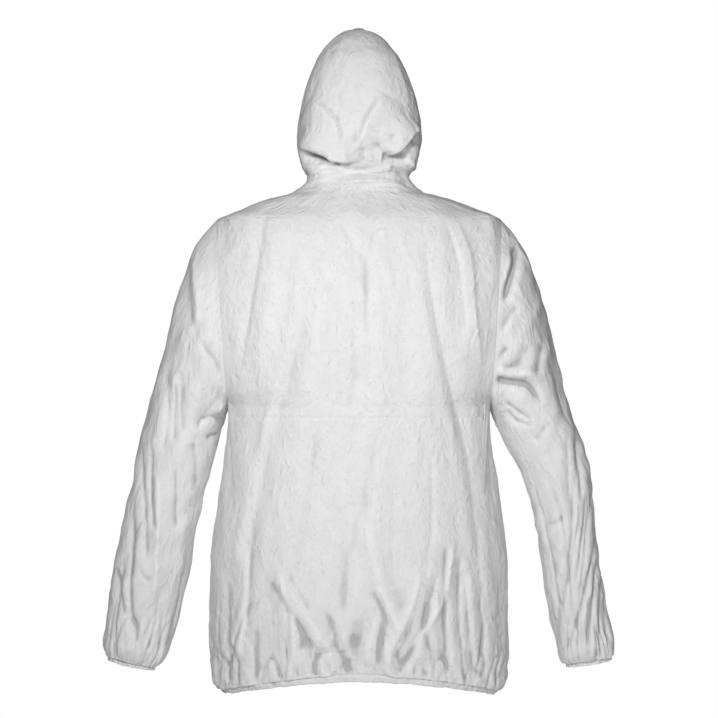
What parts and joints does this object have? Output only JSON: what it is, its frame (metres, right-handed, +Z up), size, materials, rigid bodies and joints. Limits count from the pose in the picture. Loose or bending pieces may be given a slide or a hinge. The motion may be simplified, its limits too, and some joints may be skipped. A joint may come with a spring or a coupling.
{
  "type": "hooded protective jacket",
  "caption": "Hooded protective jacket of crinkled non-woven fabric, zipped at the front, with elastic hood edge, cuffs and hem, shaped as worn.",
  "frame": {"origin": "middle of the neck opening, level with the back neck seam, on the wearer's mid plane", "axes": "+Z up along the wearer, +Y out of the wearer's back, +X to the wearer's left"},
  "size_m": [0.8111, 0.3093, 1.0557],
  "materials": {
    "fabric": "crinkled, faintly glossy",
    "seam_thread": "overlocked",
    "elastic": "matt",
    "zip_tape": "woven",
    "zip_coil": "satin",
    "zip_metal": "satin"
  },
  "bodies": {
    "torso": {"back_yoke_panel": "fabric", "back_skirt_panel": "fabric", "front_panel_left": "fabric", "front_panel_right": "fabric", "neck_band": "fabric", "hem_casing": "fabric", "hem_elastic": "elastic", "seam_back_waist": "seam_thread", "seam_neckline": "seam_thread", "seam_side_left": "seam_thread", "seam_side_right": "seam_thread", "seam_shoulder_left": "seam_thread", "seam_shoulder_right": "seam_thread", "seam_armhole_left": "seam_thread", "seam_armhole_right": "seam_thread", "zip_tape_left": "zip_tape", "zip_tape_right": "zip_tape", "zip_coil_left": "zip_coil", "zip_coil_right": "zip_coil", "zip_top_stop_left": "zip_metal", "zip_top_stop_right": "zip_metal", "zip_bottom_box": "zip_metal"},
    "hood": {"hood_panel_left": "fabric", "hood_panel_right": "fabric", "face_casing": "fabric", "face_elastic": "elastic", "seam_hood_centre": "seam_thread"},
    "left_sleeve": {"sleeve_left": "fabric", "cuff_casing_left": "fabric", "cuff_elastic_left": "elastic"},
    "right_sleeve": {"sleeve_right": "fabric", "cuff_casing_right": "fabric", "cuff_elastic_right": "elastic"},
    "slider": {"zip_slider": "zip_metal"},
    "pull_tab": {"zip_pull_tab": "zip_metal"},
    "flap": {"storm_flap": "fabric"}
  },
  "joints": [
    {"name": "hood_tip_back", "type": "hinge", "parent": "torso", "child": "hood", "pos_m": [0, 0.066, 0.022], "axis": [-1, 0, 0], "range_deg": [0, 60]},
    {"name": "left_sleeve_swing", "type": "hinge", "parent": "torso", "child": "left_sleeve", "pos_m": [0.2175, -0.00376, -0.201], "axis": [-0.998, 0, 0.0636], "range_deg": [-20, 30]},
    {"name": "right_sleeve_swing", "type": "hinge", "parent": "torso", "child": "right_sleeve", "pos_m": [-0.2175, -0.00371, -0.201], "axis": [-0.998, 0, -0.0636], "range_deg": [-20, 30]},
    {"name": "zip_slide", "type": "slide", "parent": "torso", "child": "slider", "axis": [0, -0.0746, -0.9972], "range_m": [0, 0.7476]},
    {"name": "pull_tab_swing", "type": "hinge", "parent": "slider", "child": "pull_tab", "pos_m": [0, -0.09745, 0.0093], "axis": [-1, 0, 0], "range_deg": [0, 150]},
    {"name": "storm_flap_fold", "type": "hinge", "parent": "torso", "child": "flap", "pos_m": [0.038, -0.10057, -0.02978], "axis": [0, 0.0746, 0.9972], "range_deg": [0, 150]}
  ]
}
